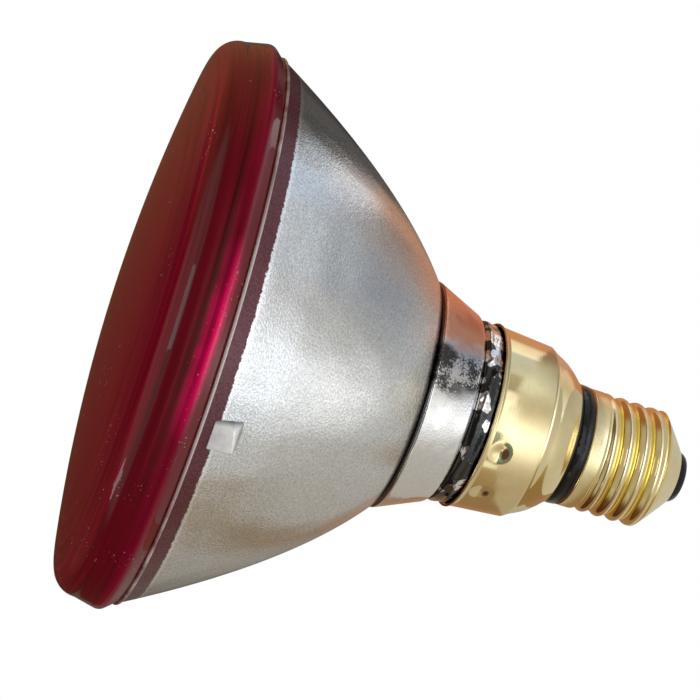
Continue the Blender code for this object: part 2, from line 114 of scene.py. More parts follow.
# Beads of glass on the neck: degrees from +X and height
NECK_BEADS = (
    (-52.0, 52.4),
    (-60.0, 51.2),
    (-136.0, 52.4),
    (-150.0, 51.4),
    (42.0, 52.2),
    (128.0, 51.8),
)
NECK_BEAD_RADIUS = 0.7
NECK_BEAD_RISE = 0.55

# Locating lug, drawn at +X and turned to its angle: (y, z) of the foot, (x, y, z) of the pad
LUG_ANGLE = -106.5
LUG_FOOT = ((-3.5, 109.6), (3.6, 109.6), (3.6, 103.0), (-3.5, 103.0))
LUG_PAD = ((58.1, -3.2, 109.3), (58.1, 1.9, 109.3), (57.6, 1.5, 105.3), (57.6, -2.9, 104.5))
LUG_SUNK = 1.5
LUG_BEVEL = 0.32

# Cap, as in the frame, apart from a shallower thread and a slightly wider button
SHEET = 0.5
SKIRT_SHOULDER_Z = 36.8
SKIRT_SHOULDER_RADIUS = 19.1
SKIRT_END_RADIUS = 14.0
THREAD_PITCH = 3.629
THREAD_DEPTH = 0.82
THREAD_TOP_Z = 22.8
THREAD_END_Z = 8.6
SHELL_END_RADIUS = 6.7
BUTTON_RADIUS = 5.75

# Crimp dimples in the skirt wall, degrees from +X; smaller and deeper than the frame's
CRIMP_ANGLES = (-106.5, -138.5, 71.0, 39.0)
CRIMP_Z = 46.0
CRIMP_RADIUS = 2.5
CRIMP_DEPTH = 0.55


# ---------------------------------------------------------------- mesh tools


def arc(centre, radius, start, stop, steps):
    """Outline points on a circle; angles in degrees, 0 points outward and 90 points up."""
    angles = [math.radians(start + (stop - start) * i / steps) for i in range(steps + 1)]
    return [(centre[0] + radius * math.cos(a), centre[1] + radius * math.sin(a)) for a in angles]


def rounded(points, radius, steps=4):
    """An open outline with each inner corner rounded by about radius."""
    line = [points[0]]
    for before, corner, after in zip(points, points[1:], points[2:]):
        reach = min(radius, math.dist(before, corner) / 2.2, math.dist(after, corner) / 2.2)
        ends = []
        for other in (before, after):
            share = reach / math.dist(other, corner)
            ends.append([c + (o - c) * share for c, o in zip(corner, other)])
        for i in range(steps + 1):
            t = i / steps
            weights = ((1 - t) ** 2, 2 * t * (1 - t), t * t)
            pulls = list(zip(weights, (ends[0], corner, ends[1])))
            line.append(tuple(sum(w * p[k] for w, p in pulls) for k in (0, 1)))
    line.append(points[-1])
    return line


def divided(points, step):
    """An outline with extra points, so that none lie further apart than step."""
    line = [points[0]]
    for start, stop in zip(points, points[1:]):
        count = max(1, math.ceil(math.dist(start, stop) / step))
        for i in range(1, count + 1):
            line.append(tuple(a + (b - a) * i / count for a, b in zip(start, stop)))
    return line


def parallel(points, distance):
    """An open outline moved sideways by distance, to the left of its direction."""
    moved = []
    for i, (r, z) in enumerate(points):
        before = points[max(i - 1, 0)]
        after = points[min(i + 1, len(points) - 1)]
        along = Vector((after[0] - before[0], after[1] - before[1])).normalized()
        moved.append((r - along.y * distance, z + along.x * distance))
    return moved


def turn_from(angle, degrees):
    """How far an angle in radians lies from a place given in degrees, from -pi to pi."""
    return (angle - math.radians(degrees) + math.pi) % math.tau - math.pi


def lathe(name, outline, material, segments, inner=None, inner_from=0, shift=None, sharp=32.0):
    """Spin a closed outline of (radius, z) points in millimetres about Z.

    Faces made from outline edges numbered inner_from or more take the inner material.
    shift(angle, r, z) may return how far a point moves outward.
    """
    bm = bmesh.new()
    count = len(outline)
    rings = []
    for r, z in outline:
        if r < 1e-6:
            rings.append([bm.verts.new((0.0, 0.0, z * MM))] * segments)
            continue
        ring = []
        for k in range(segments):
            angle = math.tau * k / segments
            reach = (r + (shift(angle, r, z) if shift else 0.0)) * MM
            ring.append(bm.verts.new((reach * math.cos(angle), reach * math.sin(angle), z * MM)))
        rings.append(ring)
    closed = outline[0][0] > 1e-6
    for i in range(count if closed else count - 1):
        lower, upper = rings[i], rings[(i + 1) % count]
        for k in range(segments):
            n = (k + 1) % segments
            corners = list(dict.fromkeys((lower[k], lower[n], upper[n], upper[k])))
            if len(corners) < 3:
                continue
            face = bm.faces.new(corners)
            face.material_index = 1 if inner and i >= inner_from else 0
    return finish_mesh(name, bm, [material] + ([inner] if inner else []), sharp)


def finish_mesh(name, bm, materials, sharp=32.0):
    """Make a smooth-shaded object that rides on the lamp's body."""
    bmesh.ops.recalc_face_normals(bm, faces=bm.faces)
    mesh = bpy.data.meshes.new(name)
    bm.to_mesh(mesh)
    bm.free()
    mesh.shade_smooth()
    mesh.set_sharp_from_angle(angle=math.radians(sharp))
    for material in materials:
        mesh.materials.append(material)
    obj = bpy.data.objects.new(name, mesh)
    bpy.context.scene.collection.objects.link(obj)
    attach(obj, BODY)
    return obj


# ---------------------------------------------------------------- material tools


class Nodes:
    """A short way to write a node tree on one Principled shader."""

    def __init__(self, name, colour, roughness, metallic=0.0):
        self.material = bpy.data.materials.new(name)
        self.material.use_nodes = True
        self.tree = self.material.node_tree
        self.shader = self.tree.nodes["Principled BSDF"]
        self.set("Base Color", (*colour, 1.0))
        self.set("Roughness", roughness)
        self.set("Metallic", metallic)
        self.place = self.tree.nodes.new("ShaderNodeTexCoord").outputs["Object"]

    def set(self, socket, value):
        """A constant on the shader's own socket."""
        self.shader.inputs[socket].default_value = value

    def link(self, socket, output):
        """A texture into the shader's socket."""
        self.tree.links.new(output, self.shader.inputs[socket])

    def node(self, kind, **settings):
        """A node; settings named in_x_y set the input called 'X Y', or link it when given an output."""
        made = self.tree.nodes.new(kind)
        for key, value in settings.items():
            if not key.startswith("in_"):
                setattr(made, key, value)
                continue
            label = key[3:]
            target = made.inputs[int(label)] if label.isdigit() else made.inputs[label.replace("_", " ")]
            if isinstance(value, bpy.types.NodeSocket):
                self.tree.links.new(value, target)
            else:
                target.default_value = value
        return made

    def noise(self, size, detail=3.0, roughness=0.5, stretch=(1.0, 1.0, 1.0)):
        """Noise whose grains measure about size millimetres."""
        mapped = self.node("ShaderNodeMapping", in_Vector=self.place, in_Scale=stretch)
        made = self.node(
            "ShaderNodeTexNoise",
            in_Vector=mapped.outputs["Vector"],
            in_Scale=1.0 / (size * MM),
            in_Detail=detail,
            in_Roughness=roughness,
        )
        return made.outputs["Fac"]

    def around(self, size, turns, detail):
        """Noise drawn out round the lamp axis: bands about size millimetres wide that fade over an arc."""
        flat = self.vector("MULTIPLY", self.place, (1.0, 1.0, 0.0)).outputs["Vector"]
        radius = self.vector("LENGTH", flat).outputs["Value"]
        swing = self.vector("SCALE", self.vector("NORMALIZE", flat).outputs["Vector"])
        swing.inputs["Scale"].default_value = turns
        across = self.maths("SUBTRACT", self.metres("Z"), radius)
        rise = self.node("ShaderNodeCombineXYZ", in_Z=self.maths("MULTIPLY", across, 1.0 / (size * MM)))
        spot = self.vector("ADD", swing.outputs["Vector"], rise.outputs["Vector"]).outputs["Vector"]
        made = self.node("ShaderNodeTexNoise", in_Vector=spot, in_Scale=1.0, in_Detail=detail)
        return made.outputs["Fac"]

    def metres(self, axis):
        """The X, Y or Z coordinate of the point that is shaded, in metres."""
        return self.node("ShaderNodeSeparateXYZ", in_Vector=self.place).outputs[axis]

    def height(self):
        """Height along the lamp axis in millimetres."""
        return self.maths("MULTIPLY", self.metres("Z"), 1.0 / MM)

    def vector(self, operation, first, second=(0.0, 0.0, 0.0)):
        """A vector sum or product; the caller takes its Vector or its Value output."""
        return self.node("ShaderNodeVectorMath", operation=operation, in_0=first, in_1=second)

    def maths(self, operation, first, second=0.0, third=0.0, clamp=False):
        """One step of arithmetic on numbers or outputs."""
        inputs = {"in_0": first, "in_1": second, "in_2": third}
        made = self.node("ShaderNodeMath", operation=operation, use_clamp=clamp, **inputs)
        return made.outputs["Value"]

    def between(self, value, low, high, out_low=0.0, out_high=1.0):
        """Value mapped from low..high to out_low..out_high, held at both ends."""
        made = self.node(
            "ShaderNodeMapRange",
            in_Value=value,
            in_From_Min=low,
            in_From_Max=high,
            in_To_Min=out_low,
            in_To_Max=out_high,
        )
        return made.outputs["Result"]

    def mix(self, share, first, second):
        """Colour between first and second."""
        made = self.node("ShaderNodeMix", data_type="RGBA", in_0=share)
        for socket, value in ((made.inputs[6], first), (made.inputs[7], second)):
            if isinstance(value, bpy.types.NodeSocket):
                self.tree.links.new(value, socket)
            else:
                socket.default_value = (*value, 1.0)
        return made.outputs[2]

    def bump(self, height, strength, distance, below=None):
        """Bump of distance millimetres from a height pattern."""
        made = self.node("ShaderNodeBump", in_Strength=strength, in_Distance=distance * MM, in_Height=height)
        if below is not None:
            self.tree.links.new(below, made.inputs["Normal"])
        return made.outputs["Normal"]


# ---------------------------------------------------------------- materials


def red_glass():
    """Deep red glass: flow lines round the rim, a band above the flange with a painted glow, painted glints
    as tiny pink specks, a wavy skin and scratches.
    """
    m = Nodes("red_glass", (0.34, 0.008, 0.018), 0.04)
    m.set("IOR", 1.5)
    m.set("Transmission Weight", 0.35)
    dark_red, bright_red = (0.14, 0.002, 0.009), (0.38, 0.006, 0.032)
    flange_red, painted_glow_red, glint_pink = (0.30, 0.010, 0.022), (1.0, 0.002, 0.14), (0.80, 0.55, 0.60)

    # The flow lines run round the side and fade out towards the flat face
    height = m.height()
    flow = m.around(1.5, 0.9, 3.0)
    face = m.between(height, LENGTH - 3.6, LENGTH - 1.6)
    flow = m.maths("ADD", flow, m.maths("MULTIPLY", face, m.maths("SUBTRACT", 0.52, flow)))
    deep = m.mix(m.between(flow, 0.32, 0.72), dark_red, bright_red)

    # The flange and the band of painted glow share one wavy edge; the painted glow is full only at the side
    # towards -Y
    wobble = m.maths("MULTIPLY_ADD", m.noise(9.0, 2.0), 2.4, -1.2)
    edge = m.maths("ADD", height, wobble)
    deep = m.mix(m.between(edge, FLANGE_Z - 0.6, FLANGE_Z - 1.6), deep, flange_red)
    band_start = m.between(edge, SEAM_Z + 1.8, SEAM_Z + 3.0)
    band_end = m.between(edge, SEAM_Z + 6.2, SEAM_Z + 3.6)
    # Painted light: the band's glow is strongest at the side towards -Y
    front = m.between(m.metres("Y"), -0.0575, -0.0607, 0.10, 1.0)
    glow = m.maths("MULTIPLY", m.maths("MULTIPLY", band_start, band_end), front)
    glow = m.maths("MULTIPLY", glow, m.between(flow, 0.35, 0.55, 0.45, 1.0))
    colour = m.mix(glow, deep, painted_glow_red)

    # Painted glints: tiny light pink specks, gathered in patches
    painted_glints = m.between(m.noise(0.6, 1.0), 0.70, 0.74)
    painted_glints = m.maths("MULTIPLY", painted_glints, m.between(m.noise(12.0, 1.0), 0.56, 0.60))
    m.link("Base Color", m.mix(painted_glints, colour, glint_pink))
    # The painted glow also gives light of its own, as emission
    m.set("Emission Color", (0.85, 0.0, 0.14, 1.0))
    m.link("Emission Strength", m.maths("MULTIPLY", glow, 0.30))

    waves = m.bump(m.noise(14.0, 2.0, 0.5), 0.35, 0.25)
    lines = m.bump(flow, 0.35, 0.10, waves)
    scratch = m.between(m.around(0.16, 0.5, 9.0), 0.70, 0.74)
    patch = m.between(m.noise(16.0, 2.0), 0.56, 0.66)
    m.link("Normal", m.bump(m.maths("MULTIPLY", scratch, patch), 0.6, 0.05, lines))
    return m.material


def silver_stipple():
    """Silvered glass seen through its stippled outside.

    Next to the seam lies a dull maroon coating with a ragged edge, with a painted highlight along it as a
    bright line of silver; painted shade makes a dark line at the small end of the bowl, just above its
    groove.
    """
    m = Nodes("silver_stipple", (0.78, 0.79, 0.81), 0.3, 1.0)
    grain = m.noise(0.42, 2.0, 0.6)
    ragged = m.maths("MULTIPLY_ADD", m.noise(0.7, 2.0, 0.7), 1.1, -0.55)
    height = m.maths("ADD", m.height(), ragged)
    coated = m.between(height, COATING_Z - 0.1, COATING_Z + 0.1)
    # Painted highlight: a bright line along the coating's edge
    painted_edge_highlight = m.between(height, COATING_Z - 0.75, COATING_Z - 0.3)
    # Painted shade: a dark line just above the groove at the bowl's small end
    painted_groove_shade = m.between(height, BOWL_END_Z + 0.9, BOWL_END_Z + 0.1, 0.0, 0.9)

    rings = m.around(3.2, 0.25, 1.0)
    tone = m.maths("MULTIPLY_ADD", m.between(grain, 0.3, 0.7), 0.75, m.maths("MULTIPLY", rings, 0.25))
    tone = m.maths("ADD", tone, painted_edge_highlight, clamp=True)
    silver = m.mix(tone, (0.50, 0.51, 0.52), (0.93, 0.94, 0.95))
    silver = m.mix(painted_groove_shade, silver, (0.03, 0.025, 0.025))
    maroon = m.mix(m.between(grain, 0.35, 0.65), (0.11, 0.018, 0.030), (0.21, 0.050, 0.070))
    m.link("Base Color", m.mix(coated, silver, maroon))
    m.link("Metallic", m.between(coated, 0.0, 1.0, 1.0, 0.15))
    m.link("Roughness", m.between(grain, 0.3, 0.7, 0.24, 0.12))

    ripple = m.bump(rings, 0.6, 0.5)
    flutes = m.bump(m.noise(10.0, 1.0, stretch=(1.0, 1.0, 0.2)), 0.7, 0.8, ripple)
    m.link("Normal", m.bump(grain, 0.8, 0.085, flutes))
    return m.material


def mirror_silver():
    """The bright aluminium film inside the bowl."""
    m = Nodes("mirror_silver", (0.86, 0.86, 0.87), 0.06, 1.0)
    m.link("Normal", m.bump(m.noise(6.0, 2.0), 0.2, 0.05))
    return m.material


def chrome_collar():
    """Smooth silvered glass with painted reflections: orange at the +X side, and next to that a dark patch
    with speckles.
    """
    m = Nodes("chrome_collar", (0.80, 0.80, 0.81), 0.1, 1.0)
    patch = m.between(m.noise(8.0, 2.0, 0.5), 0.46, 0.54)
    grain = m.noise(0.45, 3.0, 0.65)
    side = m.maths("MULTIPLY", m.metres("X"), 1.0 / MM)
    side = m.maths("MULTIPLY_ADD", m.noise(6.0, 2.0, 0.6), 7.0, side)
    # Painted reflection: orange on the side towards +X
    painted_warm_reflection = m.between(side, 15.5, 18.0)
    # Painted reflection: a dark speckled patch next to the orange one
    dark = m.maths("MULTIPLY", m.between(side, 5.5, 8.5), m.between(side, 16.5, 15.0))
    dark = m.maths("MULTIPLY", dark, m.between(m.maths("ADD", grain, m.noise(4.0, 1.0)), 0.90, 1.02))
    silver = m.mix(m.between(grain, 0.3, 0.7), (0.74, 0.74, 0.75), (0.90, 0.90, 0.90))
    silver_with_painted_reflection = m.mix(painted_warm_reflection, silver, (0.90, 0.45, 0.30))
    m.link("Base Color", m.mix(dark, silver_with_painted_reflection, (0.10, 0.09, 0.09)))
    m.link("Roughness", m.between(patch, 0.0, 1.0, 0.06, 0.14))
    ripple = m.bump(m.noise(5.0, 1.0), 0.35, 0.2)
    m.link("Normal", m.bump(m.maths("MULTIPLY", patch, grain), 0.7, 0.12, ripple))
    return m.material


def neck_glass():
    """Dark wavy glass with the silver film left on it in broken patches."""
    m = Nodes("neck_glass", (0.012, 0.013, 0.016), 0.05)
    silver = m.between(m.noise(4.2, 2.0, 0.5), 0.555, 0.575)
    m.link("Base Color", m.mix(silver, (0.008, 0.009, 0.010), (0.88, 0.88, 0.88)))
    m.link("Metallic", silver)
    m.set("Coat Weight", 0.6)
    m.set("Coat Roughness", 0.03)
    m.link("Normal", m.bump(m.noise(2.4, 2.0, 0.5), 0.8, 0.5))
    return m.material


def lug_glass():
    """Clear pressed glass over silver: a milky pad with a painted glow, and two slopes darkened grey by
    painted shade.
    """
    m = Nodes("lug_glass", (0.92, 0.94, 0.95), 0.10, 0.35)
    m.set("Coat Weight", 1.0)
    m.set("Coat Roughness", 0.03)
    cloud = m.noise(2.2, 2.0, 0.5)
    pad = m.mix(m.between(cloud, 0.40, 0.60), (0.80, 0.82, 0.83), (1.0, 1.0, 1.0))
    turned = m.node("ShaderNodeVectorRotate", in_Vector=m.place, in_Angle=-math.radians(LUG_ANGLE))
    side = m.node("ShaderNodeSeparateXYZ", in_Vector=turned.outputs["Vector"]).outputs["Y"]
    # Painted shade: two slopes are a darker grey copy of the glass, and the pad is the lit copy
    shaded_side_slope = m.between(side, 0.0018, 0.0026)
    shaded_low_slope = m.between(m.height(), 104.7, 104.0)
    slope = m.maths("MAXIMUM", shaded_side_slope, shaded_low_slope)
    grey = m.mix(m.between(cloud, 0.35, 0.6), (0.20, 0.21, 0.22), (0.48, 0.50, 0.52))
    m.link("Base Color", m.mix(slope, pad, grey))
    # Painted glow: the pad gives a weak light of its own, everywhere but on the slopes
    m.set("Emission Color", (0.90, 0.95, 1.0, 1.0))
    m.link("Emission Strength", m.maths("MULTIPLY", m.maths("SUBTRACT", 1.0, slope), 0.22))
    m.link("Normal", m.bump(m.noise(1.8, 2.0), 0.5, 0.22))
    return m.material


def seam_glass():
    """The fused line between lens and bowl: blotchy pink, with a painted highlight that turns it whitish all
    along the side towards -Y.
    """
    m = Nodes("seam_glass", (0.62, 0.36, 0.40), 0.12)
    m.set("Coat Weight", 1.0)
    blotches = m.between(m.noise(5.0, 2.0), 0.35, 0.65)
    # Painted highlight: whitish at the side towards -Y
    front = m.between(m.metres("Y"), -0.046, -0.057)
    blotches_and_painted_highlight = m.maths("MAXIMUM", front, blotches)
    m.link("Base Color", m.mix(blotches_and_painted_highlight, (0.42, 0.18, 0.22), (0.97, 0.90, 0.92)))
    return m.material


def brass(name, roughness, thread_root_shade=False):
    """Polished brass with faint turning lines and stains; for a thread, painted shade makes the roots a
    deeper yellow.
    """
    m = Nodes(name, (0.88, 0.69, 0.33), roughness, 1.0)
    stain = m.between(m.noise(7.0, 4.0, 0.6), 0.35, 0.7)
    tint = m.mix(stain, (0.92, 0.78, 0.46), (0.82, 0.66, 0.34))
    if thread_root_shade:
        height = m.height()
        angle = m.maths("ARCTAN2", m.metres("Y"), m.metres("X"))
        phase = m.maths("SUBTRACT", m.maths("MULTIPLY", height, math.tau / THREAD_PITCH), angle)
        # Painted shade: the thread's roots turn a deeper yellow
        root = m.between(m.maths("COSINE", phase), -0.2, -0.9)
        below_top = m.between(height, THREAD_TOP_Z, THREAD_TOP_Z - 2.0)
        above_end = m.between(height, 7.0, 9.0)
        threaded = m.maths("MULTIPLY", below_top, above_end)
        tint = m.mix(m.maths("MULTIPLY", root, threaded), tint, (0.86, 0.60, 0.09))
    m.link("Base Color", tint)
    fine = m.noise(0.9, 4.0, 0.7, stretch=(0.25, 0.25, 3.0))
    m.link("Roughness", m.between(fine, 0.3, 0.7, roughness * 0.7, roughness * 1.7))
    m.link("Normal", m.bump(fine, 0.10, 0.02, m.bump(m.noise(6.0, 1.0), 0.25, 0.15)))
    return m.material


def black_glass(name, roughness):
    """Glossy black insulator with slight moulding waves."""
    m = Nodes(name, (0.008, 0.007, 0.008), roughness)
    m.set("Specular IOR Level", 0.35)
    m.link("Normal", m.bump(m.noise(2.5, 2.0), 0.6, 0.25))
    return m.material


def wire_metal(name, colour, roughness):
    """Drawn wire with faint drawing marks."""
    m = Nodes(name, colour, roughness, 1.0)
    marks = m.noise(0.5, 3.0, 0.6, stretch=(1.0, 1.0, 0.2))
    m.link("Roughness", m.between(marks, 0.3, 0.7, roughness * 0.7, roughness * 1.4))
    m.link("Normal", m.bump(marks, 0.2, 0.03))
    return m.material


def clear_glass():
    """Clear tube and bead glass."""
    m = Nodes("clear_glass", (0.92, 0.95, 0.94), 0.03)
    m.set("IOR", 1.5)
    m.set("Transmission Weight", 1.0)
    m.link("Normal", m.bump(m.noise(3.0, 2.0), 0.2, 0.05))
    return m.material


def solder_metal():
    """Dull grey solder with a frozen skin."""
    m = Nodes("solder_metal", (0.56, 0.56, 0.57), 0.35, 1.0)
    skin = m.noise(0.8, 4.0, 0.6)
    m.link("Roughness", m.between(skin, 0.3, 0.7, 0.25, 0.5))
    m.link("Normal", m.bump(skin, 0.4, 0.08))
    return m.material


# ---------------------------------------------------------------- glass envelope


def lens_face(inset, rim_z, dome_steps, shoulder_steps):
    """The lens surface that lies inset from its outer face, from the rim up to the axis."""
    dome_radius = (DOME_EDGE_RADIUS**2 + DOME_SAG**2) / (2 * DOME_SAG)
    centre_z = LENGTH - dome_radius
    edge = math.asin(DOME_EDGE_RADIUS / dome_radius)
    reach = dome_radius - SHOULDER_RADIUS
    centre = (reach * math.sin(edge), centre_z + reach * math.cos(edge))
    shoulder = arc(centre, SHOULDER_RADIUS - inset, 0.0, 90.0 - math.degrees(edge), shoulder_steps)
    dome = arc((0.0, centre_z), dome_radius - inset, 90.0 - math.degrees(edge), 90.0, dome_steps)
    dome[-1] = (0.0, dome[-1][1])
    corners = [(RIM_RADIUS - RIM_INSET - inset, rim_z), (LENS_RADIUS - inset, FLANGE_Z), shoulder[0]]
    return divided(rounded(corners, 0.9), 1.0)[:-1] + shoulder + dome[1:]


def make_lens():
    """Flange, side wall, rounded shoulder and shallow dome, open towards the bowl."""
    inside = lens_face(GLASS, SEAM_Z + 0.2, dome_steps=24, shoulder_steps=8)
    outside = lens_face(0.0, SEAM_Z + 0.35, dome_steps=32, shoulder_steps=14)
    lens = lathe("lens_glass", inside[::-1] + outside, red_glass(), FINE)
    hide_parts("lens")


def make_seam():
    """A thin rounded bead that stands a little proud of the lens and the bowl."""
    outline = arc((RIM_RADIUS - 0.02, SEAM_Z), SEAM_BEAD_RADIUS, 0.0, 360.0, 16)[:-1]
    seam = lathe("seam_bead", outline, seam_glass(), FINE, sharp=80.0)
    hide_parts("lens_seal_ring")


def bowl_radius(z):
    """Outer radius of the bowl at a height."""
    four_focal = (RIM_RADIUS**2 - BOWL_END_RADIUS**2) / (SEAM_Z - BOWL_END_Z)
    return math.sqrt(max(BOWL_END_RADIUS**2 + four_focal * (z - BOWL_END_Z), 0.0))


def bowl_inner_radius(z):
    """Radius of the silvered inside at a height."""
    rim = RIM_RADIUS - GLASS
    return rim * math.sqrt(max(z - VERTEX_INSIDE_Z, 0.0) / (SEAM_Z - VERTEX_INSIDE_Z))


def make_bowl():
    """The pressed bowl: stippled outside, groove and floor, and the silvered parabola inside."""
    top = SEAM_Z - 0.3
    floor_z = VERTEX_INSIDE_Z + 0.3
    under_floor_z = BOWL_END_Z - 6.6
    outside_heights = [top + (BOWL_END_Z - top) * i / 60 for i in range(61)]
    inside_heights = [floor_z + (top - floor_z) * (i / 40) ** 2 for i in range(41)]
    outside = [(bowl_radius(z), z) for z in outside_heights]
    groove = [(BOWL_END_RADIUS - 0.9, BOWL_END_Z - 0.5), (BOWL_END_RADIUS - 1.7, BOWL_END_Z - 0.7)]
    under_floor = [(BOWL_END_RADIUS - 8.0, under_floor_z), (3.0, under_floor_z)]
    inside = [(bowl_inner_radius(z), z) for z in inside_heights]
    outline = outside + groove + under_floor + inside
    bowl = lathe(
        "reflector_bowl",
        outline,
        silver_stipple(),
        FINE,
        inner=mirror_silver(),
        inner_from=len(outside + groove) + 1,
    )
    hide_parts("reflector")


def make_collar():
    """The smooth cone between the groove at the bowl's end and the neck."""
    profile = rounded(
        [
            (NECK_RADIUS - 1.0, BOWL_END_Z - 0.8),
            (COLLAR_TOP_RADIUS - 1.0, BOWL_END_Z - 0.8),
            (COLLAR_TOP_RADIUS, BOWL_END_Z - 1.4),
            (COLLAR_END_RADIUS + 0.1, COLLAR_END_Z + 0.6),
            (COLLAR_END_RADIUS - 0.9, COLLAR_END_Z - 0.2),
            (NECK_RADIUS - 1.0, COLLAR_END_Z - 0.2),
        ],
        0.5,
    )
    collar = lathe("reflector_collar", divided(profile, 0.6), chrome_collar(), MEDIUM)
    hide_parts("reflector")


def neck_shift(angle, r, z):
    """How far the wavy wall of the neck and the pressed beads on it stand out."""
    move = 0.12 * math.sin(7.0 * angle + 1.9 * z) * math.sin(3.0 * angle - 1.1 * z)
    for bead_angle, bead_z in NECK_BEADS:
        distance = math.hypot(turn_from(angle, bead_angle) * r, z - bead_z)
        move += NECK_BEAD_RISE * math.exp(-((distance / NECK_BEAD_RADIUS) ** 2))
    return move


def make_neck():
    """The dark glass between the collar and the brass skirt, which hides its lower end."""
    profile = rounded(
        [
            (NECK_RADIUS - 3.5, COLLAR_END_Z - 0.3),
            (NECK_RADIUS + 1.0, COLLAR_END_Z - 0.3),
            (NECK_RADIUS + 1.2, COLLAR_END_Z - 1.5),
            (NECK_RADIUS + 0.7, SKIRT_HIGH + 0.1),
            (NECK_RADIUS, SKIRT_HIGH - 0.3),
            (NECK_RADIUS - 0.3, NECK_LOW + 0.8),
            (NECK_RADIUS - 3.5, NECK_LOW),
        ],
        0.5,
    )
    neck = lathe("reflector_neck", divided(profile, 0.4), neck_glass(), FINE, shift=neck_shift)
    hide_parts("reflector")


def make_lug():
    """Pressed glass pad on the rim: its foot is sunk in the bowl, two of its sides slope widely."""
    foot = [(bowl_radius(z) - LUG_SUNK, y, z) for y, z in LUG_FOOT]
    bm = bmesh.new()
    low = [bm.verts.new(Vector(c) * MM) for c in foot]
    high = [bm.verts.new(Vector(c) * MM) for c in LUG_PAD]
    bm.faces.new(low)
    bm.faces.new(high)
    for i in range(4):
        n = (i + 1) % 4
        bm.faces.new((low[i], low[n], high[n], high[i]))
    bmesh.ops.bevel(bm, geom=bm.edges[:], offset=LUG_BEVEL * MM, segments=4, profile=0.5, affect="EDGES")
    turn = Matrix.Rotation(math.radians(LUG_ANGLE), 3, "Z")
    bmesh.ops.rotate(bm, verts=bm.verts, cent=(0, 0, 0), matrix=turn)
    lug = finish_mesh("locating_lug", bm, [lug_glass()])
    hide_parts("reflector")


# ---------------------------------------------------------------- screw cap


def crimp_shift(angle, r, z):
    """How far the skirt wall moves at the crimps: a round bowl-shaped dent."""
    move = 0.0
    for crimp in CRIMP_ANGLES:
        distance = math.hypot(turn_from(angle, crimp) * r, z - CRIMP_Z)
        if distance < CRIMP_RADIUS:
            move -= CRIMP_DEPTH * (0.5 + 0.5 * math.cos(math.pi * distance / CRIMP_RADIUS))
    return move


def make_skirt():
    """Brass skirt: rolled lip, tapered wall, soft shoulder, convex cone, inturned end."""
    outer = SKIRT_RADIUS - 0.35
    lip_radius = 0.28
    lip = arc((outer + 0.08, SKIRT_HIGH - lip_radius), lip_radius, 150.0, -50.0, 9)
    wall = [(outer - 0.08, SKIRT_HIGH - 1.0), (SKIRT_SHOULDER_RADIUS, SKIRT_SHOULDER_Z + 0.6)]
    cone_start = (SKIRT_SHOULDER_RADIUS - 0.9, SKIRT_SHOULDER_Z - 0.8)
    cone_end = (SKIRT_END_RADIUS + 0.15, SKIRT_LOW + 0.6)
    bulge = []
    for t in (0.25, 0.5, 0.75):
        rise = 0.45 * math.sin(math.pi * t)
        bulge.append(tuple(a + (b - a) * t + rise * k for a, b, k in zip(cone_start, cone_end, (0.8, -0.6))))
    profile = lip + divided(wall, 0.35) + rounded([wall[-1], cone_start] + bulge + [cone_end], 0.8, 3)[1:]
    profile += [(SKIRT_END_RADIUS - 0.25, SKIRT_LOW + 0.05), (RING_RADIUS - 1.2, SKIRT_LOW)]
    outline = profile + parallel(profile, -SHEET)[::-1]
    skirt = lathe("skirt_brass", outline, brass("brass_skirt", 0.055), FINE, shift=crimp_shift, sharp=60.0)
    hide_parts("cap_skirt")


def make_ring():
    """Black ring whose edge shows between skirt and shell; inside it reaches up and down into both."""
    collar = RING_RADIUS - 1.3
    outline = rounded(
        [
            (RING_RADIUS - 3.0, RING_LOW),
            (collar, RING_LOW),
            (collar, SHELL_HIGH + 0.05),
            (RING_RADIUS - 0.1, SHELL_HIGH + 0.05),
            (RING_RADIUS + 0.05, (SHELL_HIGH + SKIRT_LOW) / 2),
            (RING_RADIUS - 0.1, SKIRT_LOW - 0.05),
            (collar, SKIRT_LOW - 0.05),
            (collar, RING_HIGH),
            (RING_RADIUS - 3.0, RING_HIGH),
        ],
        0.5,
    )
    ring = lathe("ring_black", outline, black_glass("ring_glass", 0.12), MEDIUM)
    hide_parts("insulating_ring")


def thread_shift(angle, r, z):
    """How far the right-hand thread sinks the shell wall: round crests and round roots."""
    run_in = min((z - THREAD_END_Z) / THREAD_PITCH, (THREAD_TOP_Z - z) / THREAD_PITCH, 0.5)
    if run_in <= 0.0:
        return 0.0
    blend = math.sin(math.pi * run_in)
    return -THREAD_DEPTH * (0.5 - 0.5 * math.cos(math.tau * z / THREAD_PITCH - angle)) * blend


def make_shell():
    """Threaded brass shell, drawn in to a rounded cone at its end."""
    thread_end = (SHELL_RADIUS, THREAD_END_Z)
    wall = [(SHELL_RADIUS - 0.35, SHELL_HIGH), (SHELL_RADIUS, SHELL_HIGH - 0.35), thread_end]
    cone = [thread_end, (SHELL_RADIUS - 0.75, 7.9), (9.4, 5.3), (SHELL_END_RADIUS, SHELL_LOW)]
    profile = divided(wall, 0.16) + rounded(cone, 1.2, 8)[1:]
    outline = profile + parallel(profile, -SHEET)[::-1]
    metal = brass("brass_shell", 0.13, thread_root_shade=True)
    shell = lathe("shell_brass", outline, metal, MEDIUM, shift=thread_shift, sharp=60.0)
    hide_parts("screw_shell")


def make_end_insulator():
    """Black glass button that swells out of the shell's end."""
    low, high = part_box("end_insulator")
    low_z, high_z = low.z / MM, high.z / MM
    outline = rounded(
        [
            (2.0, low_z),
            (3.8, low_z),
            (4.2, low_z - 0.55),
            (BUTTON_RADIUS - 0.7, low_z - 0.6),
            (BUTTON_RADIUS, low_z + 0.5),
            (BUTTON_RADIUS, SHELL_LOW + 0.2),
            (BUTTON_RADIUS + 2.0, SHELL_LOW + 2.3),
            (BUTTON_RADIUS + 2.0, high_z),
            (2.0, high_z),
        ],
        0.6,
        5,
    )
    button = lathe("end_button", outline, black_glass("button_glass", 0.10), SMALL)
    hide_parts("end_insulator")


